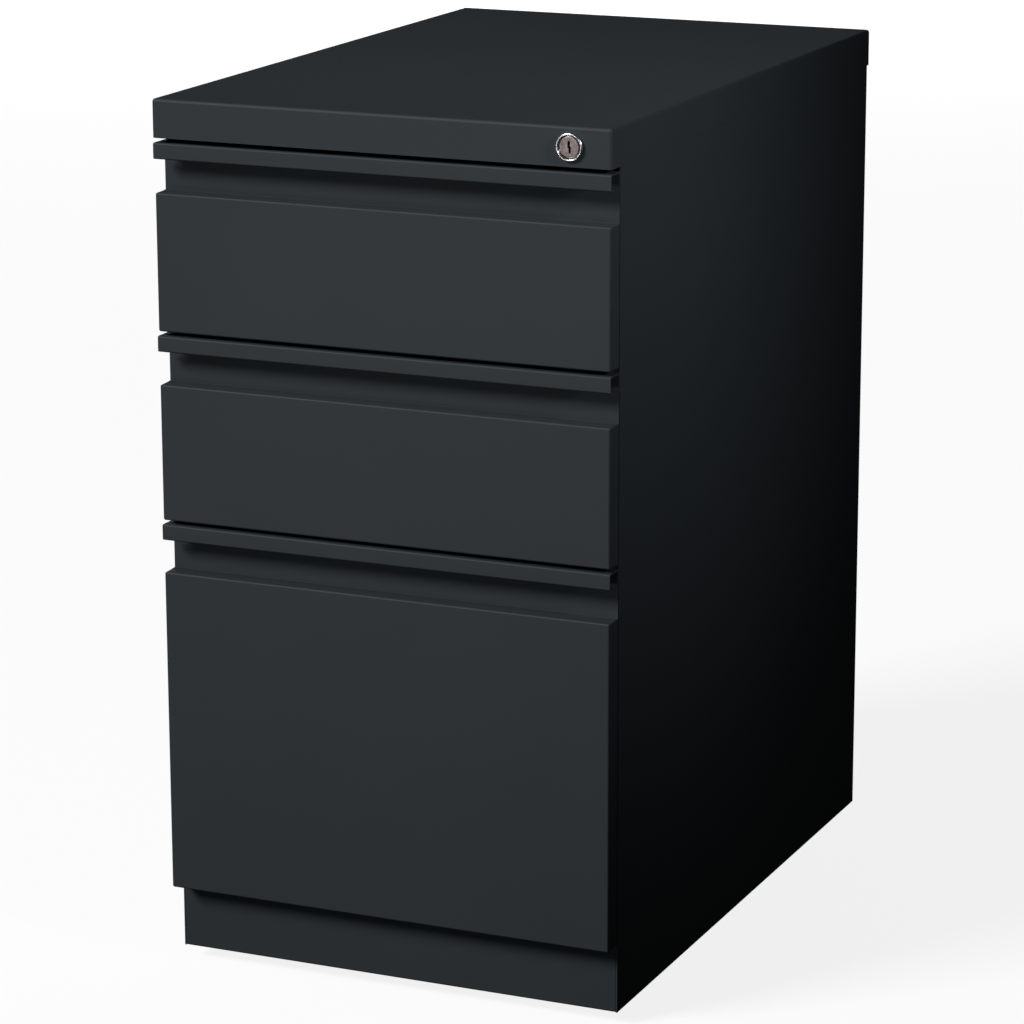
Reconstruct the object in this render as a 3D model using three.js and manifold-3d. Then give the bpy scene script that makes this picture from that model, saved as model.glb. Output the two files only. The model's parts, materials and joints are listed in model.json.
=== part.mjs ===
// Mobile pedestal filing cabinet: two box drawers above one file drawer, in a folded sheet-steel case
// that rolls on four casters hidden in its base.
// Millimetres, +Z up. The front faces -Y and +X is to the right of someone who stands before it.
// The origin is the bottom centre of the object's box, on the floor.
import * as THREE from "three";
import { mergeVertices } from "three/addons/utils/BufferGeometryUtils.js";
import Module from "manifold-3d";

const wasm = await Module();
wasm.setup();

// ---------------------------------------------------------------- driving dimensions

// Overall
const WIDTH = 381;
const DEPTH = 581;
const HEIGHT = 705;
const GROUND_GAP = 11; // floor to the lower edge of the case
const FIT = 0.2; // clearance between pieces that touch

// Sheet thicknesses
const CASE_SHEET = 1.2;
const CAP_SHEET = 0.9;
const FRONT_SHEET = 1;
const TRAY_SHEET = 0.9;

// Case
const CAP_SKIRT = 30.4; // height of the cap's fascia and skirts
const CAP_BACK_OVERHANG = 3;
const TOE_CLEARANCE = 7; // bottom pan to the lowest drawer front
const CHANNEL_WIDTH = 18; // folded channels along the front and rear of each side panel
const CHANNEL_LIP = 30;
const CHANNEL_DROP = 8; // channel tops end this far below the cap, clear of the lock cam
const BASE_RETURN = 14; // inward flanges along the lower edges of plinth and back
const PAN_FLANGE = 14;

// Drawers
const CAP_GAP = 3.8;
const DRAWER_GAP = 3.4;
const BOX_MODULE = 151.3; // pitch of the box drawers
const FRONT_DEPTH = 18.7;
const FRONT_CLEARANCE = 0.8; // drawer front to case front
const FRONT_SIDE_GAP = 1; // drawer front inside the cap's width, each side
const FRONT_LIP = 12;
const PULL_HEIGHT = 12.7;
const PULL_HEM = 8;
const PULL_SIDE_GAP = 0.5;
const PULL_PROUD = 0.8; // pull ahead of the drawer front
const RECESS_HEIGHT = 26.2;
const TRAY_RISE = 12; // tray bottom above the lower edge of its front
const TRAY_TOP_GAP = 2; // tray sides below the ledge of the front
const TRAY_BACK_GAP = 13;
const BACK_FLANGE = 12;

// Ball-bearing slides
const SLIDE_SPACE = 12.7; // between tray side and case channel
const SLIDE_SHEET = 1.2;
const SLIDE_SETBACK = 6; // slide ends inside the tray's length, each end
const INNER_HALF = 15;
const MIDDLE_HALF = 19;
const FULL_OUTER_HALF = 22.8;
const INNER_DEPTH = 7.6;
const MIDDLE_INSET = 2.2; // outer face of the middle member's web to the outer member's back
const MEMBER_REACH = 8.6; // how far outer and middle flanges reach towards the tray
const SLIDE_HEIGHTS = [30, 30, 40]; // slide centre above each tray's bottom

// Hanging-file rails
const HANG_THICK = 2;
const HANG_HEIGHT = 20;
const HANG_ABOVE = 5;

// Counterweight
const WEIGHT_THICK = 12;
const WEIGHT_LENGTH = 300;
const WEIGHT_DEPTH = 110;

// Lock
const LOCK_PROUD = 3;
const LOCK_EDGE = 33.2; // lock centre from the right edge of the cap
const PLUG_RADIUS = 8.6;
const BARREL_WALL = 1;
const RING_EDGE = 1; // bright ring beyond the barrel
const BARREL_LENGTH = 24;
const PLUG_DISH = 1; // plug face behind the ring's face
const SPIGOT_RADIUS = 4;
const CAM_THICK = 2;
const CAM_HUB_RADIUS = 7.4;
const CAM_END_RADIUS = 5;
const CAM_PIN_RADIUS = 2;
const CAM_THROW = 8; // pin centre from the plug's axis
const CAM_START = Math.PI / 4; // pin starts up and to the right and ends down and to the right
const NUT_WALL = 1.2;
const NUT_THICK = 3.5;
const KEYWAY = { width: 1.8, height: 9, depth: 6 };
const BAR_THICK = 1.5;
const BAR_WIDTH = 16;
const BAR_SETBACK = 5; // bar behind the case front
const FINGER_HEIGHT = 8;
const FINGER_THICK = 2;
const FINGER_REACH = 6.5;
const CATCH_REACH = 9;
const CATCH_HEIGHT = 14;
const CATCH_THICK = 1.5;
const CATCH_HEIGHTS = [66, 66, 100]; // catch above each tray's bottom
const LATCH_GAP = 2;

// Casters
const WHEEL_RADIUS = 25;
const WHEEL_WIDTH = 20;
const TREAD_ROUND = 3;
const CASTER_TRAIL = 16;
const CASTER_CLEAR = 4; // swept circle to the nearest flange
const CASTER_PLATE = 60;
const PLATE_THICK = 2.5;
const RACE_GAP = 1.5;
const WHEEL_HEADROOM = 2;
const FORK_SHEET = 2.2;
const FORK_SIDE_GAP = 1.2;
const FORK_BOSS = 8;
const CROWN_EDGE = 0.6; // crown beyond the legs
const KINGPIN_RADIUS = 5.5;
const AXLE_RADIUS = 3;
const AXLE_HEAD = { radius: 5, thick: 2 };
const BORE_CLEARANCE = 0.25;

// ---------------------------------------------------------------- places that follow from them

const frontY = -(DEPTH - LOCK_PROUD) / 2; // face of the cap
const backY = frontY + DEPTH;
const capBottom = HEIGHT - CAP_SKIRT;
const capUnder = HEIGHT - CAP_SHEET - FIT;

const caseFrontY = frontY + FRONT_DEPTH + FRONT_CLEARANCE;
const caseBackY = backY - CAP_BACK_OVERHANG;
const caseHalf = WIDTH / 2 - CAP_SHEET - FIT;
const wallIn = caseHalf - CASE_SHEET;
const channelIn = wallIn - CHANNEL_WIDTH;
const channelTop = capBottom - CHANNEL_DROP;
const rearWebY = caseBackY - CASE_SHEET - FIT; // rear face of the rear channels

const forkCrown = 2 * WHEEL_RADIUS + WHEEL_HEADROOM;
const casterPlateZ = forkCrown + FORK_SHEET + RACE_GAP;
const casterTop = casterPlateZ + PLATE_THICK;
const panUnder = casterTop + FIT;
const panTop = panUnder + CASE_SHEET;
const casterSweep = CASTER_TRAIL + WHEEL_RADIUS + CASTER_CLEAR;
const casterX = wallIn - FIT - CASE_SHEET - casterSweep;
const casterFrontY = caseFrontY + BASE_RETURN + casterSweep;
const casterBackY = caseBackY - BASE_RETURN - casterSweep;

const frontBackY = frontY + FRONT_DEPTH; // rear face of the drawer fronts
const trayHalf = channelIn - SLIDE_SPACE;
const trayFrontY = frontBackY + FIT;
const trayBackY = rearWebY - CASE_SHEET - TRAY_BACK_GAP;
const slideStartY = trayFrontY + SLIDE_SETBACK;
const slideEndY = trayBackY - SLIDE_SETBACK;

const barrelRadius = PLUG_RADIUS + FIT + BARREL_WALL;
const ringRadius = barrelRadius + RING_EDGE;
const lockX = WIDTH / 2 - LOCK_EDGE;
const lockZ = capBottom + CAP_SKIRT / 2;
const camY = frontY + BARREL_LENGTH + 2;
const yokeY = camY + CAM_THICK + FIT;
const lockTravel = 2 * CAM_THROW * Math.sin(CAM_START);
const barX = channelIn + CASE_SHEET + 1;
const barY = caseFrontY + BAR_SETBACK;
const catchY = barY + BAR_WIDTH / 2 + FINGER_THICK + 1;

// ---------------------------------------------------------------- finishes

const finish = (color, roughness, metalness) =>
  new THREE.MeshStandardMaterial({ color, roughness, metalness });
const POWDER_COAT = finish(0x33383b, 0.5, 0.2);
const ZINC = finish(0xb4b8ba, 0.35, 0.9);
const CHROME = finish(0xd6d8da, 0.12, 1);
const NICKEL = finish(0x9a948c, 0.3, 1);
const RAW_STEEL = finish(0x6b6d6e, 0.45, 0.9);
const NYLON = finish(0x1b1c1d, 0.55, 0);

// ---------------------------------------------------------------- shape helpers

// A closed three.js geometry as a solid that can be joined and cut.
function solidOf(geometry) {
  geometry.deleteAttribute("normal");
  geometry.deleteAttribute("uv");
  const merged = mergeVertices(geometry, 1e-4);
  return new wasm.Manifold(
    new wasm.Mesh({
      numProp: 3,
      vertProperties: merged.attributes.position.array,
      triVerts: new Uint32Array(merged.index.array),
    }),
  );
}

function geometryOf(solid) {
  const { numProp, numVert, vertProperties, triVerts } = solid.getMesh();
  const position = new Float32Array(numVert * 3);
  for (let i = 0; i < numVert; i++) {
    position.set(vertProperties.subarray(i * numProp, i * numProp + 3), i * 3);
  }
  const geometry = new THREE.BufferGeometry();
  geometry.setAttribute("position", new THREE.BufferAttribute(position, 3));
  geometry.setIndex(new THREE.BufferAttribute(triVerts, 1));
  geometry.computeVertexNormals();
  return geometry;
}

const joined = (...solids) => solids.reduce((a, b) => a.add(b));

// A rectangular block between two values on each axis, in either order.
function block(xs, ys, zs) {
  const spans = [xs, ys, zs];
  const sizes = spans.map(([a, b]) => Math.abs(b - a));
  const centres = spans.map(([a, b]) => (a + b) / 2);
  return solidOf(new THREE.BoxGeometry(...sizes).translate(...centres));
}

// The section of a folded sheet: a path of outer corners, thickened to its left, or to its right where
// the thickness is negative.
function sheetSection(path, thickness) {
  const corners = path.map(([u, v]) => new THREE.Vector2(u, v));
  const normals = corners.slice(1).map((corner, i) => {
    const along = corner.clone().sub(corners[i]).normalize();
    return new THREE.Vector2(-along.y, along.x);
  });
  const inner = corners.map((corner, i) => {
    const before = normals[Math.max(i - 1, 0)];
    const after = normals[Math.min(i, normals.length - 1)];
    const mitre = before.clone().add(after);
    return corner.clone().addScaledVector(mitre, thickness / (1 + before.dot(after)));
  });
  return new THREE.Shape([...corners, ...inner.reverse()]);
}

const rawExtrusion = (shape, length) =>
  new THREE.ExtrudeGeometry(shape, { depth: length, bevelEnabled: false, curveSegments: 16 });

// Sections in Y and Z, X and Z, or X and Y, extruded along the axis that is left.
function extrudeX(shape, [start, end]) {
  const turn = new THREE.Matrix4().makeBasis(
    new THREE.Vector3(0, 1, 0),
    new THREE.Vector3(0, 0, 1),
    new THREE.Vector3(1, 0, 0),
  );
  return solidOf(rawExtrusion(shape, end - start).applyMatrix4(turn).translate(start, 0, 0));
}

function extrudeY(shape, [start, end]) {
  return solidOf(rawExtrusion(shape, end - start).rotateX(Math.PI / 2).translate(0, end, 0));
}

function extrudeZ(shape, [start, end]) {
  return solidOf(rawExtrusion(shape, end - start).translate(0, 0, start));
}

// A profile of [radius, height] turned about an axis through a centre, its heights along that axis.
function turned(profile, axis, centre, segments = 32) {
  const points = profile.map(([r, h]) => new THREE.Vector2(r, h));
  const geometry = new THREE.LatheGeometry(points, segments);
  if (axis === "x") geometry.rotateZ(-Math.PI / 2);
  if (axis === "z") geometry.rotateX(Math.PI / 2);
  return solidOf(geometry.translate(...centre));
}

const rod = (radius, [start, end], axis, centre, segments) => {
  const profile = [[0, start], [radius, start], [radius, end], [0, end]];
  return turned(profile, axis, centre, segments);
};

const cabinet = new THREE.Group();

function place(name, solid, material) {
  const mesh = new THREE.Mesh(geometryOf(solid), material);
  mesh.name = name;
  cabinet.add(mesh);
}

const SIDES = [["left", -1], ["right", 1]];

// ---------------------------------------------------------------- drawers' levels

// Each drawer runs from the top of its pull to the lower edge of its front.
const pullTops = [0, 1, 2].map((i) => capBottom - CAP_GAP - i * BOX_MODULE);
const lowEdges = [pullTops[1] + DRAWER_GAP, pullTops[2] + DRAWER_GAP, panTop + TOE_CLEARANCE];
const drawers = pullTops.map((top, i) => {
  const ledge = top - PULL_HEIGHT - RECESS_HEIGHT;
  const trayLow = lowEdges[i] + TRAY_RISE;
  return {
    name: `drawer_${i + 1}`,
    top,
    ledge,
    bottom: lowEdges[i],
    trayLow,
    trayHigh: ledge - TRAY_TOP_GAP,
    slideZ: trayLow + SLIDE_HEIGHTS[i],
    catchZ: trayLow + CATCH_HEIGHTS[i],
    fullExtension: i === 2,
  };
});
const fingerZ = (drawer) => drawer.catchZ + CATCH_HEIGHT + LATCH_GAP;

// ---------------------------------------------------------------- case

function addCap() {
  const half = WIDTH / 2;
  const outside = block([-half, half], [frontY, backY], [capBottom, HEIGHT]);
  const inside = block(
    [-half + CAP_SHEET, half - CAP_SHEET],
    [frontY + CAP_SHEET, backY - CAP_SHEET],
    [capBottom - 1, HEIGHT - CAP_SHEET],
  );
  const lockHole = rod(barrelRadius + FIT, [-2, 2], "y", [lockX, frontY, lockZ]);
  place("top_cap", outside.subtract(inside).subtract(lockHole), POWDER_COAT);
}

// A folded channel along one end of a side panel: a web across the panel and a lip along the slides.
function channel(side, webY, inward) {
  const path = [
    [side * (wallIn + CASE_SHEET / 2), webY],
    [side * channelIn, webY],
    [side * channelIn, webY + inward * CHANNEL_LIP],
  ];
  const section = sheetSection(path, -side * inward * CASE_SHEET);
  return extrudeZ(section, [panTop + FIT, channelTop]);
}

// Openings in the right front channel that the lock bar's fingers reach through.
function fingerWindows() {
  return drawers.map((drawer) => {
    const low = fingerZ(drawer) - lockTravel - LATCH_GAP;
    const high = fingerZ(drawer) + FINGER_HEIGHT + LATCH_GAP;
    const xs = [channelIn - 1, channelIn + CASE_SHEET + 1];
    return block(xs, [barY - 1, barY + BAR_WIDTH + 1], [low, high]);
  });
}

function addSidePanels() {
  for (const [label, side] of SIDES) {
    const wall = block(
      [side * wallIn, side * caseHalf],
      [caseFrontY, caseBackY],
      [GROUND_GAP, capUnder],
    );
    const channels = [channel(side, caseFrontY + FIT, 1), channel(side, rearWebY, -1)];
    let panel = joined(wall, ...channels);
    if (side > 0) {
      for (const opening of fingerWindows()) panel = panel.subtract(opening);
    }
    place(`${label}_side_panel`, panel, POWDER_COAT);
  }
}

function addBackPanel() {
  const half = wallIn - FIT;
  const path = [
    [caseBackY, capUnder],
    [caseBackY, GROUND_GAP],
    [caseBackY - BASE_RETURN, GROUND_GAP],
  ];
  place("back_panel", extrudeX(sheetSection(path, -CASE_SHEET), [-half, half]), POWDER_COAT);
}

function addPlinth() {
  const half = wallIn - FIT;
  const path = [
    [caseFrontY, panTop],
    [caseFrontY, GROUND_GAP],
    [caseFrontY + BASE_RETURN, GROUND_GAP],
  ];
  place("base_plinth", extrudeX(sheetSection(path, CASE_SHEET), [-half, half]), POWDER_COAT);
}

function addBottomPan() {
  const half = wallIn - FIT;
  const ys = [caseFrontY + CASE_SHEET + FIT, caseBackY - CASE_SHEET - FIT];
  const outside = block([-half, half], ys, [panUnder - PAN_FLANGE, panTop]);
  const inside = block(
    [-half + CASE_SHEET, half - CASE_SHEET],
    [ys[0] + CASE_SHEET, ys[1] - CASE_SHEET],
    [panUnder - PAN_FLANGE - 1, panUnder],
  );
  place("bottom_pan", outside.subtract(inside), POWDER_COAT);
}

// The rail behind the fascia closes the cap's front edge from below and steadies the lock barrel.
function addTopRail() {
  const half = wallIn - FIT;
  const path = [
    [caseFrontY, capUnder],
    [caseFrontY, capBottom + FIT],
    [frontY + CAP_SHEET + FIT, capBottom + FIT],
  ];
  const rail = extrudeX(sheetSection(path, -CASE_SHEET), [-half, half]);
  const hole = rod(barrelRadius + 1, [-3, 3], "y", [lockX, caseFrontY, lockZ]);
  place("front_top_rail", rail.subtract(hole), POWDER_COAT);
}

function addCounterweight() {
  const half = WEIGHT_LENGTH / 2;
  const rear = rearWebY - CASE_SHEET - CHANNEL_LIP - FIT;
  const zs = [panTop + FIT, panTop + FIT + WEIGHT_THICK];
  place("counterweight", block([-half, half], [rear - WEIGHT_DEPTH, rear], zs), RAW_STEEL);
}

// ---------------------------------------------------------------- drawers

function addDrawerFront(drawer) {
  const faceY = frontY + PULL_PROUD;
  const half = WIDTH / 2 - FRONT_SIDE_GAP;
  const wallTop = drawer.top - FRONT_SHEET - FIT;
  const path = [
    [frontBackY - FRONT_SHEET, wallTop],
    [frontBackY - FRONT_SHEET, drawer.ledge],
    [faceY, drawer.ledge],
    [faceY, drawer.bottom],
    [frontBackY, drawer.bottom],
    [frontBackY, drawer.bottom + FRONT_LIP],
  ];
  const sheet = extrudeX(sheetSection(path, FRONT_SHEET), [-half, half]);
  const weld = FRONT_SHEET / 2; // how deep the end plates sit in the folded sheet
  const ends = SIDES.map(([, side]) =>
    block(
      [side * (half - FIT), side * (half - FIT - FRONT_SHEET)],
      [faceY + weld, frontBackY - weld],
      [drawer.bottom + weld, drawer.ledge - weld],
    ),
  );
  place(`${drawer.name}_front`, joined(sheet, ...ends), POWDER_COAT);
}

function addPull(drawer) {
  const half = WIDTH / 2 - PULL_SIDE_GAP;
  const low = drawer.top - PULL_HEIGHT;
  const path = [
    [frontBackY, drawer.top],
    [frontY, drawer.top],
    [frontY, low],
    [frontY + PULL_HEM, low],
  ];
  place(`${drawer.name}_pull`, extrudeX(sheetSection(path, FRONT_SHEET), [-half, half]), POWDER_COAT);
}

// Bottom and two sides folded from one sheet, with the lock catch welded on. The inner front is a plate
// welded between the sides.
function addTray(drawer) {
  const path = [
    [-trayHalf, drawer.trayHigh],
    [-trayHalf, drawer.trayLow],
    [trayHalf, drawer.trayLow],
    [trayHalf, drawer.trayHigh],
  ];
  const trough = extrudeY(sheetSection(path, TRAY_SHEET), [trayFrontY, trayBackY]);
  const lockCatch = block(
    [trayHalf - TRAY_SHEET / 2, trayHalf + CATCH_REACH],
    [catchY, catchY + CATCH_THICK],
    [drawer.catchZ, drawer.catchZ + CATCH_HEIGHT],
  );
  place(`${drawer.name}_tray`, joined(trough, lockCatch), POWDER_COAT);

  const inside = trayHalf - TRAY_SHEET - FIT;
  const innerFront = block(
    [-inside, inside],
    [trayFrontY + FIT, trayFrontY + FIT + TRAY_SHEET],
    [drawer.trayLow + TRAY_SHEET + FIT, drawer.trayHigh - FIT],
  );
  place(`${drawer.name}_inner_front`, innerFront, POWDER_COAT);
}

function addTrayBack(drawer) {
  const half = trayHalf - TRAY_SHEET - FIT;
  const path = [
    [-half, trayBackY - BACK_FLANGE],
    [-half, trayBackY],
    [half, trayBackY],
    [half, trayBackY - BACK_FLANGE],
  ];
  const section = sheetSection(path, -TRAY_SHEET);
  const zs = [drawer.trayLow + TRAY_SHEET + FIT, drawer.trayHigh];
  place(`${drawer.name}_back`, extrudeZ(section, zs), POWDER_COAT);
}

// One member of a slide: a C section with its web at one distance from the tray and its flange tips at
// another, extruded along the drawer's travel.
function slideMember(side, slideZ, webAt, tipsAt, half) {
  const opensOutwards = Math.sign(tipsAt - webAt);
  const path = [[tipsAt, half], [webAt, half], [webAt, -half], [tipsAt, -half]];
  const placed = path.map(([u, v]) => [side * (trayHalf + u), slideZ + v]);
  const section = sheetSection(placed, SLIDE_SHEET * side * opensOutwards);
  return extrudeY(section, [slideStartY, slideEndY]);
}

function addSlides(drawer) {
  const outerHalf = drawer.fullExtension ? FULL_OUTER_HALF : MIDDLE_HALF;
  const outerWeb = SLIDE_SPACE - FIT;
  const middleWeb = outerWeb - MIDDLE_INSET;
  for (const [label, side] of SIDES) {
    const member = (webAt, tipsAt, half) =>
      slideMember(side, drawer.slideZ, webAt, tipsAt, half);
    const outer = member(outerWeb, outerWeb - MEMBER_REACH, outerHalf);
    const inner = member(FIT, INNER_DEPTH, INNER_HALF);
    place(`${drawer.name}_outer_rail_${label}`, outer, ZINC);
    place(`${drawer.name}_inner_rail_${label}`, inner, ZINC);
    if (drawer.fullExtension) {
      const middle = member(middleWeb, middleWeb - MEMBER_REACH, MIDDLE_HALF);
      place(`${drawer.name}_middle_rail_${label}`, middle, ZINC);
    }
  }
}

function addHangingRails(drawer) {
  const outerX = trayHalf - TRAY_SHEET - FIT;
  const zs = [drawer.trayHigh + HANG_ABOVE - HANG_HEIGHT, drawer.trayHigh + HANG_ABOVE];
  const ys = [trayFrontY + TRAY_SHEET + FIT, trayBackY - BACK_FLANGE - FIT];
  for (const [label, side] of SIDES) {
    const rail = block([side * (outerX - HANG_THICK), side * outerX], ys, zs);
    place(`hanging_rail_${label}`, rail, ZINC);
  }
}

function addDrawers() {
  for (const drawer of drawers) {
    addDrawerFront(drawer);
    addPull(drawer);
    addTray(drawer);
    addTrayBack(drawer);
    addSlides(drawer);
    if (drawer.fullExtension) addHangingRails(drawer);
  }
}

// ---------------------------------------------------------------- lock

function addLockHousing() {
  const bore = PLUG_RADIUS + FIT;
  const ring = [
    [bore, -LOCK_PROUD],
    [ringRadius - 1, -LOCK_PROUD],
    [ringRadius, -LOCK_PROUD + 1],
    [ringRadius, -FIT],
    [barrelRadius, -FIT],
    [barrelRadius, BARREL_LENGTH],
    [bore, BARREL_LENGTH],
    [bore, -LOCK_PROUD],
  ];
  place("lock_housing", turned(ring, "y", [lockX, frontY, lockZ], 48), CHROME);

  const hexagon = new THREE.Shape();
  const corner = (2 * (barrelRadius + NUT_WALL)) / Math.sqrt(3);
  for (let i = 0; i < 6; i++) {
    const angle = (i * Math.PI) / 3;
    const point = [lockX + corner * Math.cos(angle), lockZ + corner * Math.sin(angle)];
    if (i === 0) hexagon.moveTo(...point);
    else hexagon.lineTo(...point);
  }
  const nutY = frontY + CAP_SHEET + FIT;
  const nut = extrudeY(hexagon, [nutY, nutY + NUT_THICK]);
  const thread = rod(barrelRadius + FIT, [-1, NUT_THICK + 1], "y", [lockX, nutY, lockZ]);
  place("lock_nut", nut.subtract(thread), ZINC);
}

function addPlugAndCam() {
  const faceY = -LOCK_PROUD + PLUG_DISH;
  const camFront = camY - frontY;
  const profile = [
    [0, faceY],
    [PLUG_RADIUS, faceY],
    [PLUG_RADIUS, camFront - FIT],
    [SPIGOT_RADIUS, camFront - FIT],
    [SPIGOT_RADIUS, camFront + CAM_THICK],
    [0, camFront + CAM_THICK],
  ];
  const plug = turned(profile, "y", [lockX, frontY, lockZ], 48);
  const keyway = block(
    [lockX - KEYWAY.width / 2, lockX + KEYWAY.width / 2],
    [frontY + faceY - 1, frontY + faceY + KEYWAY.depth],
    [lockZ - KEYWAY.height / 2, lockZ + KEYWAY.height / 2],
  );
  place("lock_plug", plug.subtract(keyway), NICKEL);

  // The cam's outline is its hub and its end, joined by their outer tangents.
  const pinX = lockX + CAM_THROW * Math.cos(CAM_START);
  const pinZ = lockZ + CAM_THROW * Math.sin(CAM_START);
  const tangent = Math.acos((CAM_HUB_RADIUS - CAM_END_RADIUS) / CAM_THROW);
  const outline = new THREE.Shape();
  outline.absarc(lockX, lockZ, CAM_HUB_RADIUS, CAM_START + tangent, CAM_START - tangent, false);
  outline.absarc(pinX, pinZ, CAM_END_RADIUS, CAM_START - tangent, CAM_START + tangent, false);
  const blade = extrudeY(outline, [camY, camY + CAM_THICK]);
  const pinSpan = [CAM_THICK / 2, CAM_THICK + BAR_THICK + 1];
  const drivePin = rod(CAM_PIN_RADIUS, pinSpan, "y", [pinX, camY, pinZ], 16);
  const spigotHole = rod(SPIGOT_RADIUS + FIT, [-1, CAM_THICK + 1], "y", [lockX, camY, lockZ], 24);
  place("lock_cam", blade.add(drivePin).subtract(spigotHole), ZINC);
}

// A vertical bar with a slotted yoke over the cam's pin and one finger for each drawer.
function addLockBar() {
  const pinZ = lockZ + CAM_THROW * Math.sin(CAM_START);
  const slotHalf = CAM_PIN_RADIUS + 0.7;
  const yokeHalf = slotHalf + 3;
  const barLow = fingerZ(drawers[2]) - FINGER_HEIGHT;
  const strip = block(
    [barX, barX + BAR_THICK],
    [barY, barY + BAR_WIDTH],
    [barLow, pinZ + slotHalf],
  );
  const slotLeft = lockX + CAM_THROW * Math.cos(CAM_START) - slotHalf;
  const slotRight = lockX + CAM_THROW + slotHalf;
  const yoke = block(
    [slotLeft - 3, barX + BAR_THICK / 2],
    [yokeY, yokeY + BAR_THICK],
    [pinZ - yokeHalf, pinZ + yokeHalf],
  );
  const slot = block(
    [slotLeft, slotRight],
    [yokeY - 1, yokeY + BAR_THICK + 1],
    [pinZ - slotHalf, pinZ + slotHalf],
  );
  const fingers = drawers.map((drawer) =>
    block(
      [channelIn - FINGER_REACH, barX + BAR_THICK / 2],
      [catchY - 1 - FINGER_THICK, catchY - 1],
      [fingerZ(drawer), fingerZ(drawer) + FINGER_HEIGHT],
    ),
  );
  place("lock_bar", joined(strip, yoke, ...fingers).subtract(slot), ZINC);
}

// ---------------------------------------------------------------- casters

function addCaster(name, x, y) {
  const plateHalf = CASTER_PLATE / 2;
  const plate = block(
    [x - plateHalf, x + plateHalf],
    [y - plateHalf, y + plateHalf],
    [casterPlateZ, casterTop],
  );
  const kingpinHole = rod(
    KINGPIN_RADIUS + BORE_CLEARANCE, [casterPlateZ - 1, casterTop + 1], "z", [x, y, 0], 24,
  );
  place(`${name}_plate`, plate.subtract(kingpinHole), ZINC);

  const axleY = y + CASTER_TRAIL;
  const legIn = WHEEL_WIDTH / 2 + FORK_SIDE_GAP;
  const legOut = legIn + FORK_SHEET;
  const leg = new THREE.Shape();
  leg.moveTo(y - legOut, forkCrown + FORK_SHEET / 2);
  leg.lineTo(y - legOut, forkCrown - FORK_BOSS);
  leg.lineTo(axleY - FORK_BOSS, WHEEL_RADIUS);
  leg.absarc(axleY, WHEEL_RADIUS, FORK_BOSS, Math.PI, 2 * Math.PI, false);
  leg.lineTo(axleY + FORK_BOSS, forkCrown + FORK_SHEET / 2);
  leg.closePath();
  const legs = SIDES.map(([, side]) => {
    const xs = [x + side * legIn, x + side * legOut].sort((a, b) => a - b);
    return extrudeX(leg, xs);
  });
  const crown = block(
    [x - legOut - CROWN_EDGE, x + legOut + CROWN_EDGE],
    [y - legOut - CROWN_EDGE, axleY + FORK_BOSS + CROWN_EDGE],
    [forkCrown, forkCrown + FORK_SHEET],
  );
  const kingpin = rod(KINGPIN_RADIUS, [forkCrown + 1, casterTop - FIT], "z", [x, y, 0], 24);
  const axleHole = rod(
    AXLE_RADIUS + BORE_CLEARANCE, [-legOut - 1, legOut + 1], "x", [x, axleY, WHEEL_RADIUS], 24,
  );
  const fork = joined(crown, ...legs, kingpin).subtract(axleHole);
  place(`${name}_fork`, fork, ZINC);

  const headIn = legOut + FIT;
  const headOut = headIn + AXLE_HEAD.thick;
  const axle = [
    [0, -headOut],
    [AXLE_HEAD.radius, -headOut],
    [AXLE_HEAD.radius, -headIn],
    [AXLE_RADIUS, -headIn],
    [AXLE_RADIUS, headIn],
    [AXLE_HEAD.radius, headIn],
    [AXLE_HEAD.radius, headOut],
    [0, headOut],
  ];
  place(`${name}_axle`, turned(axle, "x", [x, axleY, WHEEL_RADIUS], 24), RAW_STEEL);

  const bore = AXLE_RADIUS + BORE_CLEARANCE;
  const half = WHEEL_WIDTH / 2;
  const wheel = [
    [bore, -half],
    [WHEEL_RADIUS - TREAD_ROUND, -half],
    [WHEEL_RADIUS, -half + TREAD_ROUND],
    [WHEEL_RADIUS, half - TREAD_ROUND],
    [WHEEL_RADIUS - TREAD_ROUND, half],
    [bore, half],
    [bore, -half],
  ];
  place(`${name}_wheel`, turned(wheel, "x", [x, axleY, WHEEL_RADIUS], 48), NYLON);
}

function addCasters() {
  const corners = [
    ["front", casterFrontY],
    ["rear", casterBackY],
  ];
  for (const [end, y] of corners) {
    for (const [label, side] of SIDES) {
      addCaster(`caster_${end}_${label}`, side * casterX, y);
    }
  }
}

addCap();
addSidePanels();
addBackPanel();
addPlinth();
addBottomPan();
addTopRail();
addCounterweight();
addDrawers();
addLockHousing();
addPlugAndCam();
addLockBar();
addCasters();

export default cabinet;
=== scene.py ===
"""A mobile pedestal filing cabinet in charcoal powder coat: two box drawers over a file drawer."""

import json
import math

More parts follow.
